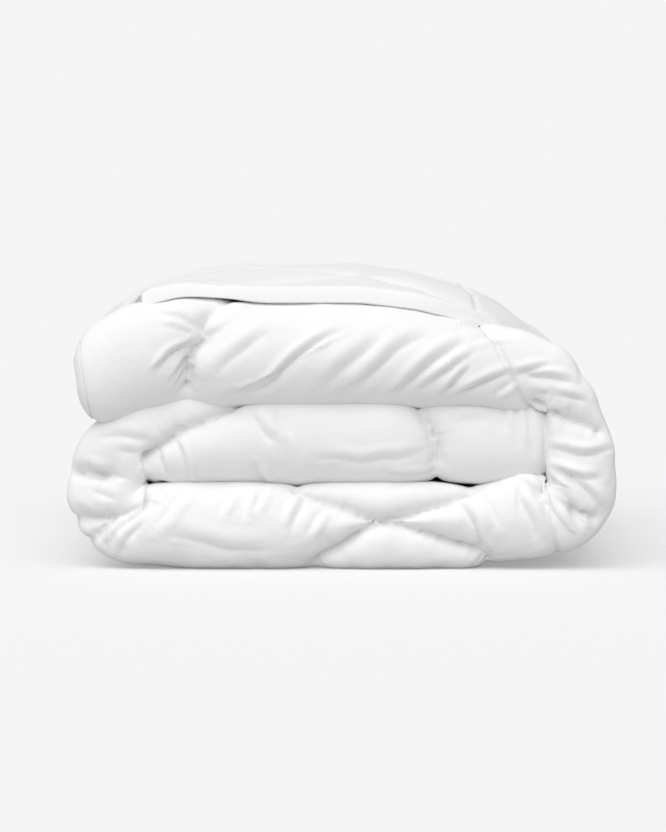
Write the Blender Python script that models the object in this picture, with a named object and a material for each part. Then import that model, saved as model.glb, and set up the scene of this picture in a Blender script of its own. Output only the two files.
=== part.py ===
"""A quilted duvet, folded away: CAD model in metres, +Z up, front towards -Y.

The duvet is folded in three from front to back, which makes a strip three leaves thick, and the strip
is folded in three again from side to side. It starts at the inner end on the right, runs left as the
middle layer, turns round the left bend, runs right as the bottom layer, climbs the right bend and ends
on top at the left. Every piece is a lane of one section, swept along that route.
"""

import bmesh
import bpy
from math import cos, pi, radians, sin
from mathutils import Vector

# Overall size of the folded bundle.
FOLDED_WIDTH = 0.741
FOLDED_DEPTH = 0.700

# Thickness of the strip, all three leaves together, in each layer and where the bends squeeze it.
BOTTOM_THICK = 0.113
MIDDLE_THICK = 0.116
TOP_THICK = 0.176
LEFT_BEND_THICK = 0.105
LEFT_FOOT_THICK = 0.106
RIGHT_FOOT_THICK = 0.091
WALL_THICK = 0.088
WALL_TOP_THICK = 0.064
CORNER_THICK = 0.058
SHOULDER_THICK = 0.078
DRAPE_THICK = 0.142
DRAPE_TIP_THICK = 0.100
END_THICK = 0.050
INNER_TIP_THICK = 0.070

# Clearances between the layers, between the leaves, and between pieces that touch.
LAYER_GAP = 0.003
LEAF_GAP = 0.002
CLEARANCE = 0.0003
INNER_END_GAP = 0.004

# The cloth, the seams and the bound edges.
CLOTH_THICK = 0.0008
SEAM_WIDTH = 0.002
EDGE_BAND = 0.006
HEM_BULGE = 0.010
FRONT_HEM_SETBACK = 0.030
BACK_HEM_SETBACK = 0.035

# Lengths of the bays and of the tapers, along the strip.
INNER_BAY = 0.150
BOTTOM_LEFT_BAY = 0.380
SHOULDER_BAY = 0.055
OUTER_BAY = 0.080
BEND_SEAM_RUN = 0.004
FOOT_RUN = 0.070
HEEL_RUN = 0.090
TIP_RUN = 0.050
SHOULDER_RUN = 0.250
DRAPE_RUN = 0.120
DRAPE_ANGLE = radians(25)
END_RUN = 0.028
END_LIFT = 0.012
INNER_TIP_LIFT = 0.022

# Height at which the right bend gives when the top third is lifted.
FOLD_LINE_HEIGHT = 0.170

# The care label, sewn in the back hem of the middle layer.
LABEL_LENGTH = 0.045
LABEL_REACH = 0.022
LABEL_THICK = 0.0006

ARC_SEGMENTS = 8
BEND_STEPS = 12
CORNER_STEPS = 10
DRAPE_STEPS = 4
END_STEPS = 5

# Places that follow from the sizes above.
HALF_DEPTH = FOLDED_DEPTH / 2
LEFT_PIVOT = Vector((-FOLDED_WIDTH / 2 + LAYER_GAP / 2 + LEFT_BEND_THICK, BOTTOM_THICK + LAYER_GAP / 2))
RIGHT_PIVOT_X = FOLDED_WIDTH / 2 - LAYER_GAP - WALL_THICK
MIDDLE_FLOOR = BOTTOM_THICK + LAYER_GAP
TOP_FLOOR = MIDDLE_FLOOR + MIDDLE_THICK + LAYER_GAP
INNER_END_X = RIGHT_PIVOT_X + LAYER_GAP - INNER_END_GAP
HINGE_X = FOLDED_WIDTH / 2

for old in list(bpy.data.objects):
    bpy.data.objects.remove(old, do_unlink=True)

collection = bpy.data.collections.new("folded_duvet")
bpy.context.scene.collection.children.link(collection)


# ---- The route of the strip -------------------------------------------------------------------------
# A station is a point on the strip's inner side, the direction out through the strip, and the strip's
# thickness there. The route is a list of stations, and named marks are where one bay ends.

route = []
marks = {}


def add_station(x, z, angle, thick, mark=None):
    """Add a station whose outward direction is at this angle in the X-Z plane."""
    route.append((Vector((x, z)), Vector((cos(angle), sin(angle))), thick))
    if mark:
        marks[mark] = len(route) - 1


def left_bend_thick(angle):
    """Thickness of the left bend: it thins from the middle layer and fills out to its foot."""
    share = abs(cos(angle + pi / 2)) ** 2
    full = MIDDLE_THICK if angle <= pi else LEFT_FOOT_THICK
    return LEFT_BEND_THICK + (full - LEFT_BEND_THICK) * share


UP = pi / 2
DOWN = 3 * pi / 2

# Middle layer, from the rounded inner end to the left bend.
add_station(INNER_END_X, MIDDLE_FLOOR + INNER_TIP_LIFT, UP, INNER_TIP_THICK, "inner_end")
add_station(INNER_END_X - TIP_RUN * 0.35, MIDDLE_FLOOR + INNER_TIP_LIFT * 0.3, UP,
            INNER_TIP_THICK + (MIDDLE_THICK - INNER_TIP_THICK) * 0.7)
add_station(INNER_END_X - TIP_RUN, MIDDLE_FLOOR, UP, MIDDLE_THICK)
add_station(INNER_END_X - INNER_BAY, MIDDLE_FLOOR, UP, MIDDLE_THICK, "middle_seam")
add_station(LEFT_PIVOT.x + BEND_SEAM_RUN, MIDDLE_FLOOR, UP, MIDDLE_THICK, "left_bend_top")

# Left bend, half a turn about the line between the middle and bottom layers.
for step in range(BEND_STEPS + 1):
    angle = UP + pi * step / BEND_STEPS
    inner = LEFT_PIVOT + Vector((cos(angle), sin(angle))) * LAYER_GAP / 2
    add_station(inner.x, inner.y, angle, left_bend_thick(angle))

# Bottom layer, flat on the floor between the two bends.
add_station(LEFT_PIVOT.x + BEND_SEAM_RUN, BOTTOM_THICK, DOWN, LEFT_FOOT_THICK, "left_bend_bottom")
add_station(LEFT_PIVOT.x + FOOT_RUN, BOTTOM_THICK, DOWN, BOTTOM_THICK)
add_station(LEFT_PIVOT.x + BOTTOM_LEFT_BAY, BOTTOM_THICK, DOWN, BOTTOM_THICK, "bottom_seam")
add_station(RIGHT_PIVOT_X - HEEL_RUN, BOTTOM_THICK, DOWN, BOTTOM_THICK)
add_station(RIGHT_PIVOT_X - BEND_SEAM_RUN, BOTTOM_THICK, DOWN, RIGHT_FOOT_THICK, "right_bend_bottom")

# Right bend: a quarter turn, the wall past the inner end, and a tighter quarter turn over it.
for step in range(CORNER_STEPS + 1):
    angle = DOWN + UP * step / CORNER_STEPS
    thick = RIGHT_FOOT_THICK + (WALL_THICK - RIGHT_FOOT_THICK) * step / CORNER_STEPS
    add_station(RIGHT_PIVOT_X + LAYER_GAP * cos(angle), BOTTOM_THICK + LAYER_GAP * (1 + sin(angle)),
                angle, thick)
add_station(RIGHT_PIVOT_X + LAYER_GAP, FOLD_LINE_HEIGHT, 0, WALL_THICK, "fold_line")
for step in range(CORNER_STEPS + 1):
    angle = UP * step / CORNER_STEPS
    outside = WALL_TOP_THICK if angle < UP / 2 else SHOULDER_THICK
    thick = CORNER_THICK + (outside - CORNER_THICK) * cos(2 * angle) ** 2
    add_station(RIGHT_PIVOT_X + LAYER_GAP * cos(angle), TOP_FLOOR - LAYER_GAP * (1 - sin(angle)),
                angle, thick)

# Top layer: it rises over the shoulder, lies level, and tapers to the left.
add_station(RIGHT_PIVOT_X - BEND_SEAM_RUN, TOP_FLOOR, UP, SHOULDER_THICK, "right_bend_top")
add_station(RIGHT_PIVOT_X - SHOULDER_BAY, TOP_FLOOR, UP,
            SHOULDER_THICK + (TOP_THICK - SHOULDER_THICK) * 0.42, "shoulder_seam")
for run, rise in ((0.40, 0.68), (0.70, 0.90), (1.0, 1.0)):
    add_station(RIGHT_PIVOT_X - SHOULDER_RUN * run, TOP_FLOOR, UP,
                SHOULDER_THICK + (TOP_THICK - SHOULDER_THICK) * rise)
add_station(LEFT_PIVOT.x + DRAPE_RUN, TOP_FLOOR, UP, TOP_THICK)
add_station(LEFT_PIVOT.x + OUTER_BAY, TOP_FLOOR, UP,
            TOP_THICK - (TOP_THICK - DRAPE_THICK) * 0.25, "outer_seam")
add_station(LEFT_PIVOT.x, TOP_FLOOR, UP, DRAPE_THICK)

# The outer end drapes over the left bend, then lifts clear of it at the tip.
for step in range(1, DRAPE_STEPS + 1):
    share = step / DRAPE_STEPS
    angle = UP + DRAPE_ANGLE * share
    reach = LAYER_GAP * 1.5 + left_bend_thick(angle)
    inner = LEFT_PIVOT + Vector((cos(angle), sin(angle))) * reach
    add_station(inner.x, inner.y, angle, DRAPE_THICK + (DRAPE_TIP_THICK - DRAPE_THICK) * share)
for step in range(1, END_STEPS + 1):
    share = step / END_STEPS
    add_station(inner.x - END_RUN * share, inner.y + END_LIFT * share ** 2, UP + DRAPE_ANGLE,
                DRAPE_TIP_THICK + (END_THICK - DRAPE_TIP_THICK) * share ** 1.5,
                "outer_end" if step == END_STEPS else None)

# Distance of each station along the middle of the strip.
distances = [0.0]
for before, after in zip(route, route[1:]):
    start = before[0] + before[1] * before[2] / 2
    finish = after[0] + after[1] * after[2] / 2
    distances.append(distances[-1] + (finish - start).length)


def place(mark):
    """Distance of a mark along the strip."""
    return distances[marks[mark]]


def station_at(distance):
    """Station at a distance along the strip, between the two that enclose it."""
    last = len(route) - 2
    index = next((i for i in range(last) if distances[i + 1] > distance), last)
    share = (distance - distances[index]) / (distances[index + 1] - distances[index])
    before, after = route[index], route[index + 1]
    return (before[0].lerp(after[0], share), before[1].lerp(after[1], share).normalized(),
            before[2] + (after[2] - before[2]) * share)


def stretch(first, last):
    """Stations from one distance to another, with those of the route between them."""
    between = [s for s, d in zip(route, distances) if first + 1e-6 < d < last - 1e-6]
    return [station_at(first)] + between + [station_at(last)]


# ---- The section of the strip -----------------------------------------------------------------------
# Three leaves lie on each other: the innermost ends in the back hem, a round front fold joins it to the
# next, and a back fold joins that one to the outermost, whose front hem lies a little behind the fold.

def leaf_thick(thick):
    """Thickness of one leaf."""
    return (thick - 2 * LEAF_GAP) / 3


def fold_line(thick, depth):
    """Points of the line at this depth through the quilt, from the back hem to the front hem."""
    leaf = leaf_thick(thick)
    front_radius = leaf + LEAF_GAP / 2 - depth
    back_radius = LEAF_GAP / 2 + depth
    front_y = -HALF_DEPTH + leaf + LEAF_GAP / 2
    back_y = HALF_DEPTH - leaf - LEAF_GAP / 2
    points = [(HALF_DEPTH - BACK_HEM_SETBACK, depth)]
    for step in range(ARC_SEGMENTS + 1):
        angle = -pi / 2 - pi * step / ARC_SEGMENTS
        points.append((front_y + front_radius * cos(angle),
                       leaf + LEAF_GAP / 2 + front_radius * sin(angle)))
    for step in range(ARC_SEGMENTS + 1):
        angle = -pi / 2 + pi * step / ARC_SEGMENTS
        points.append((back_y + back_radius * cos(angle),
                       2 * leaf + 1.5 * LEAF_GAP + back_radius * sin(angle)))
    points.append((-HALF_DEPTH + FRONT_HEM_SETBACK, 2 * (leaf + LEAF_GAP) + depth))
    return points


def back_cloth_outline(thick):
    """The cloth on the side that is folded inwards."""
    return fold_line(thick, 0.0) + fold_line(thick, CLOTH_THICK)[::-1]


def fill_outline(thick):
    """The filling between the two cloths."""
    inset = CLOTH_THICK + CLEARANCE
    return fold_line(thick, inset) + fold_line(thick, leaf_thick(thick) - inset)[::-1]


def face_cloth_outline(thick):
    """The cloth on the side that is folded outwards."""
    leaf = leaf_thick(thick)
    return fold_line(thick, leaf - CLOTH_THICK) + fold_line(thick, leaf)[::-1]


def edge_outline(thick):
    """The full thickness of the quilt, for the bands that close its two ends."""
    return fold_line(thick, 0.0) + fold_line(thick, leaf_thick(thick))[::-1]


def hem_outline(thick, y, lowest, outward):
    """A half-round bound edge, as thick as one leaf, that bulges towards outward."""
    half = leaf_thick(thick) / 2
    points = []
    for step in range(ARC_SEGMENTS + 1):
        angle = -pi / 2 + pi * step / ARC_SEGMENTS
        points.append((y + outward * HEM_BULGE * cos(angle), lowest + half + half * sin(angle)))
    return points


def front_hem_outline(thick):
    """Bound edge of the outermost leaf, along the front."""
    y = -HALF_DEPTH + FRONT_HEM_SETBACK - CLEARANCE
    return hem_outline(thick, y, 2 * (leaf_thick(thick) + LEAF_GAP), -1)


def back_hem_outline(thick):
    """Bound edge of the innermost leaf, along the back."""
    return hem_outline(thick, HALF_DEPTH - BACK_HEM_SETBACK + CLEARANCE, 0.0, 1)


# ---- Making the pieces ------------------------------------------------------------------------------

def material(name, color, roughness):
    """A plain cloth or fibre finish."""
    made = bpy.data.materials.new(name)
    made.use_nodes = True
    shader = made.node_tree.nodes["Principled BSDF"]
    shader.inputs["Base Color"].default_value = (*color, 1)
    shader.inputs["Roughness"].default_value = roughness
    shader.inputs["Metallic"].default_value = 0
    return made


def add_body(name, parent):
    """An empty that carries one moving body."""
    empty = bpy.data.objects.new(name, None)
    empty.location = (HINGE_X, 0, FOLD_LINE_HEIGHT) if parent else (0, 0, 0)
    collection.objects.link(empty)
    return empty


def add_piece(name, bm, finish, body):
    """Turn a bmesh into a named object on a body, with its faces pointing out."""
    bmesh.ops.recalc_face_normals(bm, faces=bm.faces[:])
    mesh = bpy.data.meshes.new(name)
    bm.to_mesh(mesh)
    bm.free()
    mesh.materials.append(material(name, *finish))
    piece = bpy.data.objects.new(name, mesh)
    collection.objects.link(piece)
    mesh.transform(piece.matrix_world)
    piece.parent = body
    piece.location = -body.location
    return piece


def sweep(name, outline, first, last, finish, body):
    """Extrude an outline along the strip, from one distance to another."""
    bm = bmesh.new()
    rings = []
    for inner, out, thick in stretch(first, last):
        rings.append([Vector((inner.x + out.x * n, y, inner.y + out.y * n)) for y, n in outline(thick)])
    face = bm.faces.new([bm.verts.new(point) for point in rings[0]])
    start_cap = face
    for ring in rings[1:]:
        result = bmesh.ops.extrude_face_region(bm, geom=[face], use_keep_orig=True)
        if face is not start_cap:
            bmesh.ops.delete(bm, geom=[face], context="FACES_ONLY")
        face = next(g for g in result["geom"] if isinstance(g, bmesh.types.BMFace))
        for vert, point in zip(face.verts, ring):
            vert.co = point
    return add_piece(name, bm, finish, body)


COTTON = ((0.90, 0.90, 0.89), 0.80)
FIBRE = ((0.93, 0.93, 0.92), 0.95)
THREAD = ((0.88, 0.88, 0.87), 0.60)
LABEL = ((0.94, 0.94, 0.94), 0.55)

folded_base = add_body("folded_base", None)
top_third = add_body("top_third", folded_base)

# The filling, one body to each bay between two quilting seams.
bays = (
    ("inner_end", "inner_end", "middle_seam", folded_base),
    ("middle", "middle_seam", "left_bend_top", folded_base),
    ("left_bend", "left_bend_top", "left_bend_bottom", folded_base),
    ("bottom_left", "left_bend_bottom", "bottom_seam", folded_base),
    ("bottom_right", "bottom_seam", "right_bend_bottom", folded_base),
    ("right_bend_lower", "right_bend_bottom", "fold_line", folded_base),
    ("right_bend_upper", "fold_line", "right_bend_top", top_third),
    ("shoulder", "right_bend_top", "shoulder_seam", top_third),
    ("top", "shoulder_seam", "outer_seam", top_third),
    ("outer_end", "outer_seam", "outer_end", top_third),
)
for bay, start, finish, body in bays:
    trim_start = EDGE_BAND if start == "inner_end" else SEAM_WIDTH / 2
    trim_finish = EDGE_BAND if finish == "outer_end" else SEAM_WIDTH / 2
    if start == "fold_line":
        trim_start = 0
    if finish == "fold_line":
        trim_finish = SEAM_WIDTH
    sweep("fill_" + bay, fill_outline, place(start) + trim_start + CLEARANCE,
          place(finish) - trim_finish - CLEARANCE, FIBRE, body)

# The quilting seams between the bays, where the stitches hold the two cloths together.
for bay, start, finish, body in bays[:-1]:
    middle = place(finish)
    if finish == "fold_line":
        middle -= SEAM_WIDTH / 2 + CLEARANCE / 2
    sweep("seam_" + finish, fill_outline, middle - SEAM_WIDTH / 2, middle + SEAM_WIDTH / 2, THREAD,
          top_third if start == "right_bend_top" else body)

# The two cloths and the two bound long edges, in the stretches that the folds make of them.
stretches = (
    ("middle", "inner_end", "left_bend_top", folded_base),
    ("left_bend", "left_bend_top", "left_bend_bottom", folded_base),
    ("bottom", "left_bend_bottom", "right_bend_bottom", folded_base),
    ("right_bend_lower", "right_bend_bottom", "fold_line", folded_base),
    ("right_bend_upper", "fold_line", "right_bend_top", top_third),
    ("top", "right_bend_top", "outer_end", top_third),
)
skins = (
    ("face_cloth_", face_cloth_outline, COTTON),
    ("back_cloth_", back_cloth_outline, COTTON),
    ("front_hem_", front_hem_outline, COTTON),
    ("back_hem_", back_hem_outline, COTTON),
)
for part, start, finish, body in stretches:
    first = place(start) + (EDGE_BAND + CLEARANCE if start == "inner_end" else CLEARANCE / 2)
    last = place(finish) - (EDGE_BAND + CLEARANCE if finish == "outer_end" else CLEARANCE / 2)
    for prefix, outline, finish_values in skins:
        sweep(prefix + part, outline, first, last, finish_values, body)

# The bound edges that close the inner and the outer end of the strip.
sweep("edge_inner_end", edge_outline, place("inner_end"), place("inner_end") + EDGE_BAND, COTTON,
      folded_base)
sweep("edge_outer_end", edge_outline, place("outer_end") - EDGE_BAND, place("outer_end"), COTTON,
      top_third)

# The care label stands out of the back hem of the middle layer, in the hollow above the bottom layer.
bm = bmesh.new()
bmesh.ops.create_cube(bm, size=1)
bmesh.ops.scale(bm, vec=(LABEL_LENGTH, LABEL_REACH, LABEL_THICK), verts=bm.verts)
label_y = HALF_DEPTH - BACK_HEM_SETBACK + HEM_BULGE + 2 * CLEARANCE + LABEL_REACH / 2
label_z = MIDDLE_FLOOR + leaf_thick(MIDDLE_THICK) / 2
bmesh.ops.translate(bm, vec=(0, label_y, label_z), verts=bm.verts)
add_piece("care_label", bm, LABEL, folded_base)
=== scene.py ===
import bmesh
import bpy
import numpy as np
from math import cos, pi, radians, sin, sqrt
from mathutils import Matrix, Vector, noise


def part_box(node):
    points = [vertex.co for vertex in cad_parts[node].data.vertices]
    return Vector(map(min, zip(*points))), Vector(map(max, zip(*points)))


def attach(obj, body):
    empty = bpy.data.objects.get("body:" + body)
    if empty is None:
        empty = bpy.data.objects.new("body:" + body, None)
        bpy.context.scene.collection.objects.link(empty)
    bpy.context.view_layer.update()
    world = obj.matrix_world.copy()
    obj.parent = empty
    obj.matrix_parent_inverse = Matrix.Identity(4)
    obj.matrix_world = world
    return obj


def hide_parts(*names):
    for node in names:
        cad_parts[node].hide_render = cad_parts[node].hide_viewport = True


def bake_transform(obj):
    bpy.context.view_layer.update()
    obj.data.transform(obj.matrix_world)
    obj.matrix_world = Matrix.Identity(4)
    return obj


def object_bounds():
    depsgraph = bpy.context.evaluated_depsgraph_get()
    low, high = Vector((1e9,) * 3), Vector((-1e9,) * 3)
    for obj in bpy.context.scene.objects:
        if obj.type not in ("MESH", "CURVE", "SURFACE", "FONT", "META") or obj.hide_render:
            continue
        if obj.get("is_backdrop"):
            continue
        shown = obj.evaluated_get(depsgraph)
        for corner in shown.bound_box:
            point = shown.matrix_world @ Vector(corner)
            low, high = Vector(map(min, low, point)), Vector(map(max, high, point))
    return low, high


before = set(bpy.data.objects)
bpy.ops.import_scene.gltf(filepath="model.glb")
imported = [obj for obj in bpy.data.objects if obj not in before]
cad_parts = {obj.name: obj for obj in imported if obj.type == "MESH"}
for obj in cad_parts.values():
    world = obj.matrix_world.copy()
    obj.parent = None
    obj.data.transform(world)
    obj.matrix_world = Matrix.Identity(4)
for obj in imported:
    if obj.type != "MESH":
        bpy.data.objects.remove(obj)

cad_low, cad_high = (Vector(corner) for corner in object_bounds())

# ---- Camera ------------------------------------------------------------------------------------------
# A long lens a little above the bundle, looking square on to the front folds, so that the layers read
# almost as in an elevation.

view_target = Vector((-0.009, cad_low.y + 0.02, 0.209))
view_distance = 5.0
view_lift = radians(4)
camera_data = bpy.data.cameras.new("studio_camera")
camera_data.lens = 160.6
camera_data.sensor_width = 36
camera = bpy.data.objects.new("studio_camera", camera_data)
camera.location = view_target + Vector((0, -cos(view_lift), sin(view_lift))) * view_distance
camera.rotation_euler = (pi / 2 - view_lift, 0, 0)
bpy.context.scene.collection.objects.link(camera)
bpy.context.scene.camera = camera


# ---- Floor and light ---------------------------------------------------------------------------------
# A pale seamless floor that fades into the pale surround, under soft even light with a large key light
# high on the left.

def new_material(name):
    """A material with its node tree, its shader and its links."""
    made = bpy.data.materials.new(name)
    made.use_nodes = True
    tree = made.node_tree
    return made, tree, tree.nodes["Principled BSDF"], tree.links.new


world = bpy.data.worlds.new("studio")
bpy.context.scene.world = world
world.use_nodes = True
sky = world.node_tree.nodes["Background"]
sky.inputs["Color"].default_value = (0.475, 0.475, 0.478, 1)
backdrop = world.node_tree.nodes.new("ShaderNodeBackground")
backdrop.inputs["Color"].default_value = (0.913, 0.913, 0.913, 1)
seen = world.node_tree.nodes.new("ShaderNodeLightPath")
choose = world.node_tree.nodes.new("ShaderNodeMixShader")
world.node_tree.links.new(seen.outputs["Is Camera Ray"], choose.inputs["Fac"])
world.node_tree.links.new(sky.outputs["Background"], choose.inputs[1])
world.node_tree.links.new(backdrop.outputs["Background"], choose.inputs[2])
world.node_tree.links.new(choose.outputs["Shader"], world.node_tree.nodes["World Output"].inputs["Surface"])
bpy.context.scene.view_settings.view_transform = "Standard"

floor_bm = bmesh.new()
bmesh.ops.create_grid(floor_bm, x_segments=1, y_segments=1, size=30)
floor_mesh = bpy.data.meshes.new("studio_floor")
floor_bm.to_mesh(floor_mesh)
floor_bm.free()
floor = bpy.data.objects.new("studio_floor", floor_mesh)
bpy.context.scene.collection.objects.link(floor)
floor_paint, tree, shader, link = new_material("studio_floor")
shader.inputs["Base Color"].default_value = (0.60, 0.60, 0.60, 1)
shader.inputs["Emission Color"].default_value = (1, 1, 1, 1)
lit = tree.nodes.new("ShaderNodeLightPath")
lift_amount = tree.nodes.new("ShaderNodeMath")
lift_amount.operation = "MULTIPLY"
lift_amount.inputs[1].default_value = 0.305
link(lit.outputs["Is Camera Ray"], lift_amount.inputs[0])
link(lift_amount.outputs["Value"], shader.inputs["Emission Strength"])
shader.inputs["Roughness"].default_value = 1.0
shader.inputs["Specular IOR Level"].default_value = 0.0
coordinates = tree.nodes.new("ShaderNodeTexCoord")
distance = tree.nodes.new("ShaderNodeVectorMath")
distance.operation = "LENGTH"
fade = tree.nodes.new("ShaderNodeMapRange")
fade.inputs["From Min"].default_value = 1.0
fade.inputs["From Max"].default_value = 4.0
clear = tree.nodes.new("ShaderNodeBsdfTransparent")
mix = tree.nodes.new("ShaderNodeMixShader")
link(coordinates.outputs["Object"], distance.inputs[0])
link(distance.outputs["Value"], fade.inputs["Value"])
link(fade.outputs["Result"], mix.inputs["Fac"])
link(shader.outputs["BSDF"], mix.inputs[1])
link(clear.outputs["BSDF"], mix.inputs[2])
link(mix.outputs["Shader"], tree.nodes["Material Output"].inputs["Surface"])
floor_mesh.materials.append(floor_paint)
floor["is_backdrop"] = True

key_data = bpy.data.lights.new("key_light", "SUN")
key_data.energy = 2.15
key_data.angle = radians(75)
key = bpy.data.objects.new("key_light", key_data)
key.rotation_euler = Vector((0.24, 0.76, -1.0)).to_track_quat("-Z", "Y").to_euler()
bpy.context.scene.collection.objects.link(key)


# ---- Quilt: route and section ------------------------------------------------------------------------
# One quilted sheet, folded in three from front to back and then rolled in three from right to left.
# Its cloths are laid as a grid: columns along the strip, rows across the three leaves.

leaf_gap = 0.002
layer_gap = 0.003
bottom_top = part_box("back_cloth_bottom")[1][2]
middle_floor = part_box("back_cloth_middle")[0][2]
top_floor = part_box("back_cloth_top")[0][2]
left_pivot = Vector((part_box("fill_middle")[0][0] - 0.005, (bottom_top + middle_floor) / 2))
right_pivot_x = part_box("fill_bottom_right")[1][0] + 0.005

route = []


def lay(x, z, degrees, thick):
    """Add a point of the strip's inner side, the way out through it, and its thickness."""
    route.append((x, z, radians(degrees), thick))


def bend(x, z, radius, start, finish, thicks):
    """Carry the route round a pivot, with the thickness passing through the given values."""
    for step in range(13):
        share = step / 12
        degrees = start + (finish - start) * share
        turned = radians(degrees)
        thick = np.interp(share, np.linspace(0, 1, len(thicks)), thicks)
        lay(x + radius * cos(turned), z + radius * sin(turned), degrees, thick)


lay(0.287, middle_floor + 0.011, 90, 0.094)
lay(0.266, middle_floor + 0.005, 90, 0.106)
lay(0.236, middle_floor, 90, 0.114)
lay(left_pivot.x + 0.01, middle_floor, 90, 0.116)
bend(left_pivot.x, left_pivot.y, layer_gap / 2, 90, 270, (0.114, 0.104, 0.102, 0.104, 0.105, 0.105, 0.104))
lay(left_pivot.x + 0.07, bottom_top, 270, 0.113)
lay(right_pivot_x - 0.09, bottom_top, 270, 0.112)
bend(right_pivot_x, bottom_top + layer_gap, layer_gap, 270, 360, (0.092, 0.090, 0.0885))
lay(right_pivot_x + layer_gap, 0.165, 360, 0.085)
lay(right_pivot_x + layer_gap, 0.192, 360, 0.080)
bend(right_pivot_x, top_floor - layer_gap, layer_gap, 360, 450, (0.066, 0.0580, 0.088))
lay(right_pivot_x - 0.040, top_floor, 450, 0.118)
lay(right_pivot_x - 0.095, top_floor, 450, 0.145)
lay(right_pivot_x - 0.175, top_floor, 450, 0.166)
lay(right_pivot_x - 0.250, top_floor, 450, 0.175)
lay(left_pivot.x + 0.120, top_floor, 450, 0.175)
lay(left_pivot.x + 0.050, top_floor - 0.002, 450, 0.169)
lay(left_pivot.x, top_floor - 0.006, 453, 0.157)
lay(left_pivot.x - 0.045, top_floor - 0.022, 458, 0.142)
lay(left_pivot.x - 0.084, top_floor - 0.020, 459, 0.114)
route = np.array(route)


def smooth_route(points, spacing=0.004, passes=4):
    """Space the route evenly along its outer side and round off its corners."""
    outer = points[:, :2] + np.stack([np.cos(points[:, 2]), np.sin(points[:, 2])], 1) * points[:, 3:4]
    run = np.concatenate([[0], np.cumsum(np.linalg.norm(np.diff(outer, axis=0), axis=1))])
    even = np.arange(0, run[-1], spacing)
    laid = np.stack([np.interp(even, run, points[:, i]) for i in range(4)], 1)
    for _ in range(passes):
        laid[1:-1] = (laid[:-2] + 2 * laid[1:-1] + laid[2:]) / 4
    return even, laid


route_run, route_even = smooth_route(route)
strip_length = route_run[-1]


def smoothstep(x):
    """Ease from 0 to 1."""
    x = np.clip(x, 0, 1)
    return x * x * (3 - 2 * x)


# Where the strip reaches each bend, as distances along its outer side.
turning = np.degrees(route_even[:, 2])
left_bend_start = route_run[np.argmax(turning > 95)]
left_bend_finish = route_run[np.argmax(turning > 265)]
right_bend_start = route_run[np.argmax(turning > 275)]
right_bend_finish = route_run[np.argmax(turning > 445)]
way_out = np.stack([np.cos(route_even[:, 2]), np.sin(route_even[:, 2])], 1)
outer_side = route_even[:, :2] + route_even[:, 3:4] * way_out
flap_end = np.interp(0.285, -outer_side[:, 0][turning > 445], route_run[turning > 445])
flap_start = route_run[np.argmin((outer_side[:, 0] - 0.287) ** 2 + (outer_side[:, 1] - 0.310) ** 2)]

front_y = cad_low.y
back_y = cad_high.y
# The front hem lies this far behind the front folds, and comes forward again where it shows.
hem_set_back = 0.104
hem_brought_forward = 0.062
back_hem_set_back = 0.035
# The outermost leaf is the thinnest: this thick, and thicker by the growth on the top layer.
thin_leaf = 0.016
thin_leaf_growth = 0.020
# The bottom layer's folds stand back from the front by the second of these, the middle layer's by both.
middle_set_back = 0.016
bottom_set_back = 0.003
# A power under 1 makes a fold fuller than half a circle.
fold_fullness = 0.86

# Rows across the strip: the side of the quilt, the part of the fold, and how far along it.
INNER, OUTER = 0, 1
LEAF_A, FRONT_FOLD, LEAF_B, BACK_FOLD, LEAF_C = range(5)


def row_table():
    """Rows round the section, from the back hem along the inner cloth and home along the outer one."""
    def spread(side, part, shares):
        return [(side, part, share) for share in shares]

    def steps(start, finish, count, ends=False):
        shares = np.linspace(start, finish, count + 1)
        return list(shares if ends else shares[:-1])

    rows = []
    rows += spread(INNER, LEAF_A, steps(0, 0.9, 22) + steps(0.9, 1, 8))
    rows += spread(INNER, FRONT_FOLD, steps(0, 1, 32))
    rows += spread(INNER, LEAF_B, steps(0, 0.1, 8) + steps(0.1, 1, 5))
    rows += spread(INNER, BACK_FOLD, steps(0, 1, 3))
    rows += spread(INNER, LEAF_C, steps(0, 0.85, 4) + steps(0.85, 1, 10, True))
    rows += spread(OUTER, LEAF_C, steps(1, 0.9, 12) + steps(0.9, 0, 76))
    rows += spread(OUTER, BACK_FOLD, steps(1, 0, 24))
    rows += spread(OUTER, LEAF_B, steps(1, 0.88, 7) + steps(0.88, 0, 4))
    rows += spread(OUTER, FRONT_FOLD, steps(1, 0, 2))
    rows += spread(OUTER, LEAF_A, steps(1, 0.12, 4) + steps(0.12, 0, 5, True))
    return np.array(rows)


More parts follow.
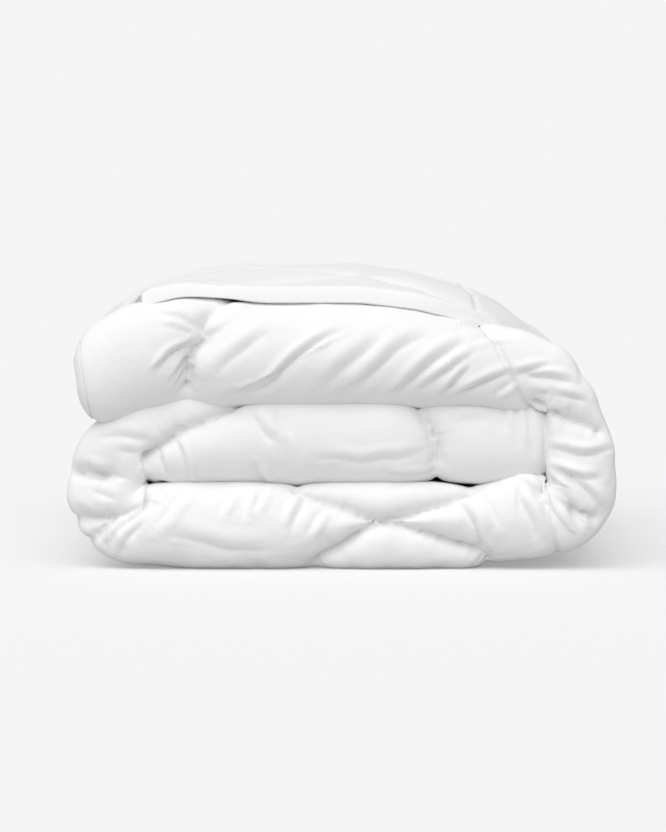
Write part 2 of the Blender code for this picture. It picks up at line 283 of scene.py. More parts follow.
def section(rows, run, pinch):
    """Places of a grid of points, given their rows, their runs and how far the quilt is pinched there."""
    x, z, angle, thick = (np.interp(run, route_run, route_even[:, i]) for i in range(4))
    side, part, share = rows[:, 0][None], rows[:, 1][None], rows[:, 2][None]
    top_layer = smoothstep((run - right_bend_start) / (strip_length - right_bend_start) * 2.2)
    leaf_c = np.minimum(thin_leaf + thin_leaf_growth * top_layer, 0.3 * thick)
    leaf = (thick - 2 * leaf_gap - leaf_c) / 2
    bottom_reach = smoothstep((run - left_bend_finish + 0.1) / 0.15)
    fold_front = front_y + middle_set_back * (1 - bottom_reach) + bottom_set_back * (1 - top_layer)
    front_centre = fold_front + leaf + leaf_gap
    back_centre = back_y - (leaf + leaf_c) / 2 - leaf_gap
    # The outermost leaf lies clear over the fold, rises towards the outer end, and shows its hem between.
    flap = smoothstep((run - flap_start + 0.02) / 0.17)
    left_rise = 0.017 * smoothstep((run - flap_end + 0.20) / 0.15)
    showing = smoothstep((run - flap_start + 0.02) / 0.22) * (1 - smoothstep((run - flap_end + 0.025) / 0.05))
    front_hem = front_y + hem_set_back - hem_brought_forward * showing
    back_hem = back_y - back_hem_set_back
    # Depth through the quilt, as a share of the leaf, from the inner cloth (0) to the outer (1).
    depth = np.where(side == INNER, 0.5 - pinch / 2, 0.5 + pinch / 2)
    y = np.zeros(run.shape)
    n = np.zeros(run.shape)

    def put(chosen, y_values, n_values):
        y[:] = np.where(part == chosen, y_values, y)
        n[:] = np.where(part == chosen, n_values, n)

    def rounded(away, reach, least):
        return np.sqrt(np.clip(1 - (1 - np.clip(away / reach, 0, 1)) ** 2, least, 1))

    # The five parts in turn: leaf, front fold, leaf, back fold, and the outermost leaf with its hem.
    y_a = back_hem + (front_centre - back_hem) * share
    taper = rounded(back_hem - y_a, 0.055, 0.0064)
    put(LEAF_A, y_a, leaf * (0.5 + (depth - 0.5) * taper))
    turn = pi * share
    radius = leaf * (1 - depth) + leaf_gap / 2
    put(FRONT_FOLD, front_centre - radius * np.sin(turn) ** fold_fullness,
        leaf + leaf_gap / 2 - radius * np.cos(turn))
    y_b = front_centre + (back_centre - front_centre) * share
    put(LEAF_B, y_b, leaf + leaf_gap + leaf * (1 - depth))
    low = leaf * depth + leaf_gap / 2
    high = leaf_c * depth + leaf_gap / 2
    put(BACK_FOLD, back_centre + (low + high) / 2 * np.sin(turn) ** fold_fullness,
        2 * leaf + 1.5 * leaf_gap - np.cos(turn) * np.where(turn > pi / 2, high, low))
    y_c = back_centre + (front_hem - back_centre) * share
    away = y_c - front_hem
    wall = rounded(away, 0.014, 0.003)
    slope = 1 - top_layer * 0.36 * (1 - smoothstep(away / 0.26))
    droop = 0.001 * (1 - smoothstep(away / 0.060)) - left_rise * (1 - smoothstep(away / 0.18))
    put(LEAF_C, y_c, 2 * (leaf + leaf_gap) + leaf_c * depth * wall * slope + 0.002 * (1 - wall) - droop)
    # At the front the round fold swells until it meets its neighbours.
    grow = smoothstep((front_centre + 0.075 - y) / 0.09)
    # It presses down past its own layer most at the two corners of the right bend.
    wall_side = np.exp(-((run - (right_bend_start + right_bend_finish) / 2) / 0.10) ** 2)
    corner = np.exp(-((run - right_bend_start + 0.030) / 0.040) ** 2)
    upper_corner = np.exp(-((run - right_bend_finish - 0.030) / 0.050) ** 2)
    lowest = -0.0045 + 0.001 * wall_side - 0.014 * corner - 0.007 * upper_corner
    end_rise = 0.014 * smoothstep((run - flap_end + 0.06) / 0.08)
    highest = 2 * leaf + leaf_gap + 0.003 + left_rise + end_rise + (thick - 2 * leaf) * (1 - flap)
    swollen = lowest + (highest - lowest) * n / (2 * leaf + leaf_gap)
    swollen = np.where((part == LEAF_C) | (part == BACK_FOLD), n, swollen)
    n = n + (swollen - n) * grow
    return np.stack([x + np.cos(angle) * n, y, z + np.sin(angle) * n], 2)


# The seam on the right of the top layer leans: its foot is nearer the bend than its head. The other
# seam that runs right round the section is where the bottom layer's last bay meets the right bend.
lean_seam_run = np.interp(-0.226, -route_even[:, 0][turning > 445], route_run[turning > 445])
bend_seam_run = right_bend_start + 0.006

rows = row_table()
columns = round(strip_length / 0.0065)
run = np.linspace(0, strip_length, columns + 1)
nearest = np.argmin(abs(run - lean_seam_run))
run[nearest] = lean_seam_run
whole_lean = 0.085
lean_by_row = np.where(rows[:, 1] == FRONT_FOLD, (rows[:, 2] - 0.5) * whole_lean, whole_lean / 2)
lean_by_row = np.where(rows[:, 1] == LEAF_A, -whole_lean / 2, lean_by_row)
lean = np.exp(-((run - lean_seam_run) / 0.09) ** 2)
run_grid = run[:, None] + lean[:, None] * lean_by_row[None]
outer_leaf = np.where(rows[:, 1] == LEAF_C, smoothstep(rows[:, 2] / 0.9), 0.0)
# At the outer end of the strip the outermost leaf stops short of the other two.
run_grid -= 0.100 * smoothstep((run - strip_length + 0.26) / 0.26)[:, None] * outer_leaf


def rounded_end(away, reach):
    """How full the quilt is at this distance from an edge."""
    return np.sqrt(np.clip(1 - (1 - np.clip(away / reach, 0, 1)) ** 2, 0.0016, 1))


end_fullness = np.minimum(rounded_end(run, 0.030), rounded_end(strip_length - run, 0.036))
pinch = np.repeat(end_fullness[:, None], len(rows), 1)
bite_by_row = np.where(rows[:, 1] == LEAF_C, 0.35, 1.0)
for seam_run, bite in ((lean_seam_run, 0.28), (bend_seam_run, 0.22)):
    bitten = bite * (1 - rounded_end(abs(run - seam_run), 0.05))
    pinch = np.minimum(pinch, 1 - bitten[:, None] * bite_by_row[None])
spots = section(rows, run_grid, pinch)


# ---- Quilting: seams and drag lines -------------------------------------------------------------------
# The two cloths are stitched together along the seams, so the quilt sinks there between full bays, and
# the loose cloth gathers across the stitches.

def surface_normals(places):
    """Outward direction of every point of the grid, which is closed across the rows."""
    along = np.gradient(places, axis=0)
    across = np.roll(places, -1, 1) - np.roll(places, 1, 1)
    normal = np.cross(across, along)
    return normal / np.maximum(np.linalg.norm(normal, axis=2, keepdims=True), 1e-9)


def openness(places, spacing):
    """1 where the cloth lies open, falling to 0 where a bend crowds it together."""
    apart = np.linalg.norm(np.gradient(places, axis=0), axis=2) / spacing
    return smoothstep((apart - 0.12) / 0.5)


def wander(values, spacing, seed):
    """Smooth values between -1 and 1 that change over this spacing."""
    table = np.random.RandomState(seed).uniform(-1, 1, 997)
    at = values / spacing + 300
    first = np.floor(at).astype(int)
    blend = smoothstep(at - first)
    return table[first % 997] * (1 - blend) + table[(first + 1) % 997] * blend


def to_line(points, line):
    """Distance of each point from a line of points, and how far along the line its foot is."""
    best = np.full(len(points), 9.0)
    along = np.zeros(len(points))
    travelled = 0.0
    for start, finish in zip(line[:-1], line[1:]):
        step = finish - start
        length = max(np.linalg.norm(step), 1e-9)
        share = np.clip((points - start) @ step / length ** 2, 0, 1)
        apart = np.linalg.norm(points - start - share[:, None] * step, axis=1)
        nearer = apart < best
        best = np.where(nearer, apart, best)
        along = np.where(nearer, travelled + share * length, along)
        travelled += length
    return best, along


front_band = (rows[:, 1] == FRONT_FOLD) & (rows[:, 0] == INNER)
near_front = front_band | ((rows[:, 0] == INNER) & (rows[:, 1] == LEAF_A) & (rows[:, 2] > 0.8))
near_front |= (rows[:, 0] == INNER) & (rows[:, 1] == LEAF_B) & (rows[:, 2] < 0.2)


def lift(points, from_run, to_run, places):
    """Put points given as (x, z) of the front view on the front folds between two runs."""
    chosen = (run >= from_run) & (run <= to_run)
    folds = places[chosen][:, front_band].reshape(-1, 3)
    dense = []
    for (x0, z0), (x1, z1) in zip(points[:-1], points[1:]):
        pieces = max(2, round(sqrt((x1 - x0) ** 2 + (z1 - z0) ** 2) / 0.008))
        dense += [(x0 + (x1 - x0) * k / pieces, z0 + (z1 - z0) * k / pieces) for k in range(pieces)]
    dense.append(points[-1])
    line = np.array([folds[np.argmin((folds[:, 0] - x) ** 2 + (folds[:, 2] - z) ** 2)] for x, z in dense])
    for _ in range(3):
        line[1:-1] = (line[:-2] + 2 * line[1:-1] + line[2:]) / 4
    return line


# Seams on the front folds: where from and to along the strip, depth, reach of the valley, and points.
middle_runs = (0.0, left_bend_start + 0.05)
left_runs = (left_bend_start - 0.05, left_bend_finish + 0.05)
bottom_runs = (left_bend_finish - 0.12, right_bend_start + 0.05)
right_runs = (right_bend_start - 0.05, right_bend_finish + 0.1)
top_runs = (right_bend_finish - 0.05, strip_length)
front_seams = (
    (middle_runs, 0.030, 0.060, ((0.104, 0.232), (0.112, 0.215), (0.124, 0.193), (0.131, 0.163),
                                 (0.135, 0.136), (0.131, 0.108))),
    (middle_runs, 0.024, 0.050, ((-0.135, 0.232), (-0.175, 0.210), (-0.216, 0.190), (-0.250, 0.160),
                                 (-0.285, 0.126))),
    (left_runs, 0.026, 0.055, ((-0.362, 0.129), (-0.330, 0.130), (-0.290, 0.124), (-0.262, 0.112))),
    (left_runs, 0.018, 0.040, ((-0.368, 0.066), (-0.338, 0.066), (-0.310, 0.069), (-0.270, 0.090),
                               (-0.236, 0.111))),
    (left_runs, 0.014, 0.035, ((-0.350, 0.030), (-0.330, 0.042), (-0.310, 0.066))),
    (bottom_runs, 0.030, 0.070, ((-0.060, 0.114), (-0.010, 0.096), (0.034, 0.077), (0.061, 0.069),
                                 (0.100, 0.055), (0.145, 0.036), (0.190, 0.018), (0.205, 0.002))),
    (bottom_runs, 0.030, 0.065, ((-0.030, 0.004), (0.007, 0.033), (0.034, 0.056), (0.061, 0.069),
                                 (0.090, 0.079), (0.121, 0.091), (0.155, 0.106), (0.175, 0.114))),
    (top_runs, 0.040, 0.062, ((-0.140, 0.368), (-0.160, 0.362), (-0.185, 0.343), (-0.181, 0.318),
                              (-0.197, 0.298), (-0.206, 0.274), (-0.202, 0.246), (-0.206, 0.232))),
    (right_runs, 0.014, 0.045, ((0.262, 0.226), (0.296, 0.206), (0.330, 0.200), (0.352, 0.190))),
    (right_runs, 0.012, 0.040, ((0.276, 0.110), (0.310, 0.085), (0.345, 0.070))),
)


def pillow_valley(away, reach):
    """Depth of the valley beside a seam, from 1 on the stitches to 0 where the bay is full."""
    return 1 - np.sqrt(np.clip(1 - (1 - np.clip(away / reach, 0, 1)) ** 2, 0, 1))


normals = surface_normals(spots)
unfilled = spots.copy()
points = spots[:, near_front].reshape(-1, 3)
turn_share = np.where(front_band, np.sin(pi * rows[:, 2]), 0)[near_front]
# The seams bite fully in front and less where the folds turn away. Long gathers run out from them.
hold = np.tile(0.30 + 0.70 * turn_share ** 0.8, len(run))
sink = np.zeros(len(points))
pucker = np.zeros(len(points))
stitch_away = np.full(len(points), 9.0)
seam_lines = []
for number, (runs, seam_depth, reach, path) in enumerate(front_seams):
    line = lift(path, *runs, spots)
    line = np.concatenate([line[:1] + [[0, 0.07, 0]], line, line[-1:] + [[0, 0.07, 0]]])
    seam_lines.append(line)
    member = (run_grid[:, near_front] >= runs[0]) & (run_grid[:, near_front] <= runs[1])
    away, along = to_line(points, line)
    away = np.where(member.reshape(-1), away, 9.0)
    stitch_away = np.minimum(stitch_away, away)
    near_top = 1 - 0.7 * smoothstep((points[:, 2] - 0.330) / 0.030)
    valley = seam_depth * pillow_valley(away, reach) + 0.004 * np.exp(-away / 0.004)
    sink = np.maximum(sink, near_top * valley)
    long_gather = 0.026 + 0.020 * wander(along, 0.021, 40 + number)
    gather = wander(along, 0.018, 120 + number)
    pucker += 0.0034 * gather * np.exp(-away / long_gather) * away / (away + 0.004)
# Drag lines, where the cloth is pulled or pressed into folds: stretch of the strip, width of the fold,
# height, and points. The cloth sinks on the line and stands up beside it, on the side of the sign.
drag_lines = (
    (top_runs, 0.0050, 0.0065, ((-0.244, 0.266), (-0.230, 0.292), (-0.212, 0.303), (-0.190, 0.306))),
    (top_runs, 0.0045, 0.0050, ((-0.224, 0.258), (-0.210, 0.280), (-0.190, 0.294))),
    (top_runs, 0.0045, 0.0045, ((-0.218, 0.244), (-0.206, 0.264), (-0.196, 0.276))),
    (top_runs, 0.0050, 0.0035, ((-0.252, 0.346), (-0.218, 0.344), (-0.190, 0.334))),
    (top_runs, 0.0050, 0.0030, ((-0.242, 0.332), (-0.214, 0.330), (-0.192, 0.322))),
    (top_runs, 0.0060, 0.0070, ((-0.150, 0.237), (-0.110, 0.243), (-0.088, 0.254), (-0.071, 0.279),
                                (-0.037, 0.305), (0.003, 0.325))),
    (top_runs, 0.0090, 0.0045, ((-0.170, 0.262), (-0.130, 0.300), (-0.090, 0.325))),
    (top_runs, 0.0080, 0.0040, ((-0.190, 0.300), (-0.165, 0.325), (-0.140, 0.340))),
    (top_runs, 0.0110, 0.0050, ((-0.020, 0.250), (0.020, 0.285), (0.060, 0.315))),
    (top_runs, 0.0100, 0.0060, ((0.017, 0.240), (0.057, 0.280), (0.094, 0.308), (0.120, 0.320))),
    (top_runs, 0.0080, 0.0070, ((0.075, 0.232), (0.100, 0.262), (0.125, 0.285), (0.170, 0.308))),
    (top_runs, 0.0060, 0.0060, ((0.110, 0.243), (0.130, 0.262), (0.148, 0.274), (0.186, 0.297))),
    (top_runs, 0.0050, 0.0050, ((0.135, 0.236), (0.160, 0.258), (0.178, 0.280))),
    (top_runs, 0.0055, 0.0060, ((0.159, 0.234), (0.180, 0.248), (0.200, 0.259), (0.232, 0.268))),
    (top_runs, 0.0050, -0.0040, ((0.205, 0.236), (0.222, 0.248), (0.236, 0.258))),
    (top_runs, 0.0060, 0.0045, ((0.150, 0.322), (0.175, 0.331), (0.205, 0.333), (0.240, 0.325))),
    (top_runs, 0.0055, -0.0040, ((0.184, 0.314), (0.208, 0.320), (0.236, 0.316))),
    (right_runs, 0.0050, 0.0060, ((0.236, 0.266), (0.258, 0.275), (0.284, 0.277))),
    (right_runs, 0.0060, 0.0070, ((0.246, 0.262), (0.278, 0.264), (0.309, 0.257))),
    (right_runs, 0.0060, 0.0050, ((0.262, 0.240), (0.295, 0.238), (0.330, 0.228))),
    (right_runs, 0.0062, 0.0072, ((0.284, 0.166), (0.312, 0.160), (0.340, 0.158), (0.364, 0.163))),
    (right_runs, 0.0062, 0.0078, ((0.280, 0.139), (0.305, 0.131), (0.330, 0.126), (0.350, 0.128))),
    (right_runs, 0.0070, 0.0080, ((0.262, 0.132), (0.288, 0.120), (0.310, 0.094), (0.326, 0.056))),
    (right_runs, 0.0070, 0.0078, ((0.240, 0.122), (0.266, 0.108), (0.290, 0.080), (0.302, 0.044))),
    (right_runs, 0.0062, 0.0065, ((0.296, 0.134), (0.322, 0.120), (0.342, 0.100), (0.356, 0.076))),
    (right_runs, 0.0080, 0.0070, ((0.212, 0.114), (0.236, 0.100), (0.256, 0.074), (0.266, 0.040))),
    (bottom_runs, 0.0060, 0.0070, ((0.158, 0.096), (0.172, 0.080), (0.182, 0.062), (0.187, 0.035),
                                   (0.198, 0.016))),
    (bottom_runs, 0.0070, -0.0050, ((0.190, 0.104), (0.205, 0.086), (0.212, 0.060))),
    (bottom_runs, 0.0060, 0.0060, ((-0.066, 0.058), (-0.056, 0.082), (-0.042, 0.106))),
    (bottom_runs, 0.0060, -0.0055, ((-0.045, 0.048), (-0.034, 0.070), (-0.020, 0.092))),
    (bottom_runs, 0.0055, 0.0045, ((-0.150, 0.110), (-0.153, 0.094), (-0.160, 0.078))),
    (bottom_runs, 0.0055, 0.0045, ((-0.105, 0.111), (-0.108, 0.096), (-0.118, 0.084))),
    (bottom_runs, 0.0055, 0.0045, ((-0.125, 0.111), (-0.130, 0.092), (-0.128, 0.076))),
    (bottom_runs, 0.0080, 0.0040, ((-0.215, 0.108), (-0.230, 0.084), (-0.250, 0.062))),
    (bottom_runs, 0.0060, 0.0060, ((-0.312, 0.030), (-0.300, 0.056), (-0.275, 0.078), (-0.240, 0.098))),
    (bottom_runs, 0.0060, 0.0050, ((-0.296, 0.022), (-0.286, 0.044), (-0.262, 0.066))),
    (bottom_runs, 0.0110, 0.0040, ((-0.230, 0.050), (-0.160, 0.030), (-0.090, 0.030))),
    (middle_runs, 0.0070, 0.0060, ((-0.124, 0.219), (-0.112, 0.202), (-0.104, 0.188), (-0.092, 0.172))),
    (middle_runs, 0.0070, -0.0050, ((-0.090, 0.220), (-0.075, 0.200), (-0.062, 0.182))),
    (middle_runs, 0.0060, 0.0060, ((-0.118, 0.140), (-0.110, 0.128), (-0.102, 0.114))),
    (middle_runs, 0.0050, 0.0065, ((-0.226, 0.180), (-0.214, 0.160), (-0.208, 0.140), (-0.207, 0.120))),
    (middle_runs, 0.0055, 0.0065, ((-0.246, 0.160), (-0.238, 0.145), (-0.236, 0.128))),
    (middle_runs, 0.0080, 0.0035, ((-0.030, 0.150), (0.030, 0.146), (0.080, 0.150), (0.118, 0.160))),
    (middle_runs, 0.0060, 0.0035, ((0.060, 0.128), (0.095, 0.126), (0.124, 0.122))),
    (middle_runs, 0.0045, 0.0045, ((0.222, 0.226), (0.226, 0.210), (0.226, 0.190))),
    (middle_runs, 0.0045, 0.0045, ((0.236, 0.226), (0.241, 0.208), (0.244, 0.184), (0.244, 0.165))),
    (middle_runs, 0.0045, 0.0040, ((0.250, 0.224), (0.257, 0.204), (0.260, 0.180), (0.260, 0.150))),
    (middle_runs, 0.0090, 0.0035, ((0.150, 0.200), (0.180, 0.206), (0.205, 0.200))),
    (left_runs, 0.0080, 0.0050, ((-0.352, 0.142), (-0.335, 0.131), (-0.312, 0.127))),
    (left_runs, 0.0080, 0.0040, ((-0.325, 0.180), (-0.290, 0.182), (-0.258, 0.172))),
    (left_runs, 0.0070, 0.0040, ((-0.300, 0.160), (-0.275, 0.158), (-0.255, 0.150))),
    (left_runs, 0.0070, 0.0040, ((-0.340, 0.110), (-0.318, 0.100), (-0.296, 0.092))),
)


def fold_profile(signed, width):
    """A groove on the line with a soft ridge beside it."""
    ridge = 0.75 * np.exp(-((signed - 1.6 * width) / (1.1 * width)) ** 2)
    return ridge - np.exp(-abs(signed) / (0.75 * width))


# The front bays are a little uneven all over.
unevenness = 0.0035
undulation = np.array([noise.noise(Vector(p * 14)) * 0.6 + noise.noise(Vector(p * 34)) * 0.3 for p in points])
shift = ((pucker - sink) * hold + unevenness * undulation).reshape(len(run), -1)
shift *= openness(unfilled, run[1])[:, near_front]
spots[:, near_front] += normals[:, near_front] * shift[..., None]

# Where the underside would sink into the floor it lies flat on it.
floor_clearance = 0.0006
floor_ease = 0.0008
above_floor = (spots[:, :, 2] - floor_clearance) / floor_ease
spots[:, :, 2] = floor_clearance + np.logaddexp(0, above_floor) * floor_ease

# Over the rest of the duvet the seams cross in large diamonds, drawn on the cloth as it lies flat.
around = np.cumsum(np.concatenate([[0], np.linalg.norm(np.diff(spots[len(run) // 2], axis=0), axis=1)]))
from_hem = abs(around - around[np.argmax((rows[:, 0] == OUTER) & (rows[:, 1] == LEAF_C))])
diamond = 0.40
diamond_lean = 0.9
diamond_slant = 1.35
diamond_shift = 0.30
diamond_depth = 0.013
diamond_gather = 0.0024
plain = ~near_front
diamond_away = np.full(spots.shape[:2], 9.0)
for lean_sign in (1, -1):
    across = (run_grid + lean_sign * diamond_lean * from_hem[None]) / diamond + diamond_shift
    diamond_away = np.minimum(diamond_away, abs(across - np.round(across)) * diamond / diamond_slant)
along = run_grid * 0.7 + from_hem[None] * 0.7
gather = wander(along, 0.009, 7) * np.exp(-diamond_away / 0.022) * diamond_away / (diamond_away + 0.004)
soft = smoothstep(from_hem / 0.03)[None] * rounded_end(strip_length - run, 0.05)[:, None]
quilted = (diamond_gather * gather - diamond_depth * pillow_valley(diamond_away, 0.065)) * soft
spots[:, plain] += normals[:, plain] * quilted[:, plain][..., None]


# ---- Cloth: what the stitches leave loose is settled by simulation -------------------------------------
# Air and filling push the cloth out, the stitches and the parts pressed between layers hold it, and a
# little spare cloth lets it crease. The settled cloth then gets its fine gathers and drag lines.

def cloth_object(name, places):
    """An open cloth with its points in these places and its faces outwards."""
    count, across = places.shape[:2]
    bm = bmesh.new()
    bmesh.ops.create_grid(bm, x_segments=count - 1, y_segments=across - 1, size=1)
    bmesh.ops.reverse_faces(bm, faces=bm.faces)
    for vert, spot in zip(bm.verts, places.transpose(1, 0, 2).reshape(-1, 3)):
        vert.co = spot
    mesh = bpy.data.meshes.new(name)
    bm.to_mesh(mesh)
    bm.free()
    piece = bpy.data.objects.new(name, mesh)
    bpy.context.scene.collection.objects.link(piece)
    return piece


def settle(name, places, held, spare, push, frames, most):
    """Simulate an open grid of cloth. held is 1 where it can't move, spare is the share of extra cloth
    it has, push is the pressure, and most is the furthest that a point may go."""
    sheet = cloth_object(name, places)
    count = places.shape[0] * places.shape[1]
    pins = sheet.vertex_groups.new(name="held")
    slack = sheet.vertex_groups.new(name="spare")
    for index, (hold, loose) in enumerate(zip(held.T.flat, spare.T.flat)):
        pins.add([index], float(hold), "REPLACE")
        slack.add([index], float(loose), "REPLACE")
    cloth = sheet.modifiers.new("cloth", "CLOTH")
    settings = cloth.settings
    settings.quality = 5
    settings.mass = 0.15
    settings.air_damping = 2
    settings.tension_stiffness = 12
    settings.compression_stiffness = 12
    settings.shear_stiffness = 3
    settings.bending_stiffness = 0.15
    settings.vertex_group_mass = "held"
    settings.pin_stiffness = 1
    settings.use_pressure = True
    settings.uniform_pressure_force = push
    settings.vertex_group_shrink = "spare"
    settings.shrink_min = 0.0
    settings.shrink_max = -0.22
    settings.effector_weights.gravity = 0
    cloth.collision_settings.use_collision = False
    cloth.collision_settings.use_self_collision = False
    cloth.point_cache.frame_start = 1
    cloth.point_cache.frame_end = frames
    scene = bpy.context.scene
    for frame_number in range(1, frames + 1):
        scene.frame_set(frame_number)
    settled = sheet.evaluated_get(bpy.context.evaluated_depsgraph_get()).to_mesh()
    moved = np.empty(count * 3)
    settled.vertices.foreach_get("co", moved)
    bpy.data.objects.remove(sheet)
    scene.frame_set(1)
    moved = moved.reshape(places.shape[1], places.shape[0], 3).transpose(1, 0, 2)
    drift = moved - places
    length = np.linalg.norm(drift, axis=2, keepdims=True)
    return places + drift * np.minimum(1, most / np.maximum(length, 1e-9))


# The band is held along its edges, on the stitches and at the strip's ends, and has most to spare near
# the stitches.
stitch_away = stitch_away.reshape(len(run), -1)
edge_rows = np.minimum(np.arange(near_front.sum()), np.arange(near_front.sum())[::-1])
held = np.maximum(1 - edge_rows / 7, 0)[None] * np.ones((len(run), 1))
held = np.maximum(held, (stitch_away < 0.0034).astype(float))
held = np.maximum(held, rounded_end(run, 0.02)[:, None] < 0.5)
held = np.maximum(held, rounded_end(strip_length - run, 0.02)[:, None] < 0.5)
spare = 0.25 + 0.75 * np.exp(-stitch_away / 0.035)
spots[:, near_front] = settle("front_folds", spots[:, near_front], held, spare,
                              push=3.5, frames=20, most=0.010)


def refined(places, axis, closed):
    """Put a new place between every two along this axis, and round the surface off as it goes."""
    places = np.moveaxis(places, axis, 0)
    before = np.roll(places, 1, 0)
    after = np.roll(places, -1, 0)
    kept = (before + 6 * places + after) / 8
    halfway = (places + after) / 2
    if not closed:
        kept[0] = places[0]
        kept[-1] = places[-1]
    finer = np.stack([kept, halfway], 1).reshape(-1, *places.shape[1:])
    if not closed:
        finer = finer[:-1]
    return np.moveaxis(finer, 0, axis)


cloth_grid = refined(refined(spots, 0, False), 1, True)
flat_front = refined(refined(unfilled, 0, False), 1, True)[:, np.repeat(near_front, 2)]
fine_run = np.interp(np.arange(cloth_grid.shape[0]) / 2, np.arange(len(run)), run)

# Fine gathers run out from the stitches on the front folds, and the stitches draw a narrow groove.
gather_height = 0.0024
groove_depth = 0.0048
groove_width = 0.0045
flat_points = flat_front.reshape(-1, 3)
gathers = np.zeros(len(flat_points))
for number, (runs, _, _, _) in enumerate(front_seams):
    member = np.repeat((fine_run >= runs[0]) & (fine_run <= runs[1]), flat_front.shape[1])
    close = np.flatnonzero(member)
    away, along = to_line(flat_points[close], seam_lines[number])
    reach = 0.013 + 0.010 * wander(along, 0.012, 200 + number)
    waves = wander(along, 0.0062, 220 + number) + 0.5 * wander(along, 0.0105, 240 + number)
    gathers[close] += gather_height * waves * np.exp(-away / reach) * away / (away + 0.003)
    gathers[close] -= groove_depth * np.exp(-away / groove_width)

# Each drag line is a groove with its ridge on one side, easing in and out along its length.
drag = np.zeros(len(flat_points))
fine_front = np.flatnonzero(np.repeat(near_front, 2))
front_facing = surface_normals(cloth_grid)[:, fine_front].reshape(-1, 3)
for runs, width, height, path in drag_lines:
    line = lift(path, *runs, unfilled)
    member = np.repeat((fine_run >= runs[0]) & (fine_run <= runs[1]), flat_front.shape[1])
    box_middle = (line.min(0) + line.max(0)) / 2
    box_reach = (line.max(0) - line.min(0)) / 2 + 5 * width
    near_box = (abs(flat_points - box_middle) < box_reach).all(1)
    close = np.flatnonzero(member & near_box)
    away, along = to_line(flat_points[close], line)
    length = np.linalg.norm(np.diff(line, axis=0), axis=1).sum()
    whole = line[-1] - line[0]
    side = np.sign((np.cross(whole, flat_points[close] - line[len(line) // 2]) * front_facing[close]).sum(1))
    ease = np.sin(pi * np.clip(along / length, 0.02, 0.98)) ** 0.6
    fading = np.exp(-np.maximum(away - 2.5 * width, 0) / width)
    drag[close] += abs(height) * fold_profile(side * np.sign(height) * away, width) * ease * fading
across_fade = np.repeat(np.where(front_band, np.sin(pi * rows[:, 2]) ** 0.5, 0)[near_front], 2)
gathers = gathers.reshape(len(fine_run), -1) * (0.25 + 0.75 * across_fade) + drag.reshape(len(fine_run), -1)
gathers *= openness(flat_front, fine_run[1])
cloth_grid[:, fine_front] += surface_normals(cloth_grid)[:, fine_front] * gathers[..., None]

# Where each row comes in the section, for closing the cut ends, and the rows and columns used below.
row_order = rows[:, 1] + rows[:, 2]
fine_order = np.repeat(row_order, 2)
fine_order[1::2] = (row_order + np.roll(row_order, -1)) / 2
last_inner = 2 * int((rows[:, 0] == INNER).sum()) - 2
last_row = cloth_grid.shape[1] - 1
last_column = cloth_grid.shape[0] - 1
lean_column = int(np.argmin(abs(fine_run - lean_seam_run)))
bend_column = int(np.argmin(abs(fine_run - bend_seam_run)))
fine_around = np.interp(np.arange(last_row + 2) / 2, np.arange(len(around)), around)
fine_from_hem = abs(fine_around[:-1] - fine_around[last_inner])
# The two seams that run right round the strip are sunk into the cloth, but not at the front hem.
hem_fade = smoothstep((fine_from_hem - 0.01) / 0.09)[:, None]
for seam_column in (lean_column, bend_column):
    for aside, seam_sink in ((0, 0.0034), (-1, 0.0012), (1, 0.0012)):
        inward = surface_normals(cloth_grid)[seam_column + aside]
        cloth_grid[seam_column + aside] -= seam_sink * hem_fade * inward
lowest_cloth = 0.0008
cloth_grid[:, :, 2] = np.maximum(cloth_grid[:, :, 2], lowest_cloth)
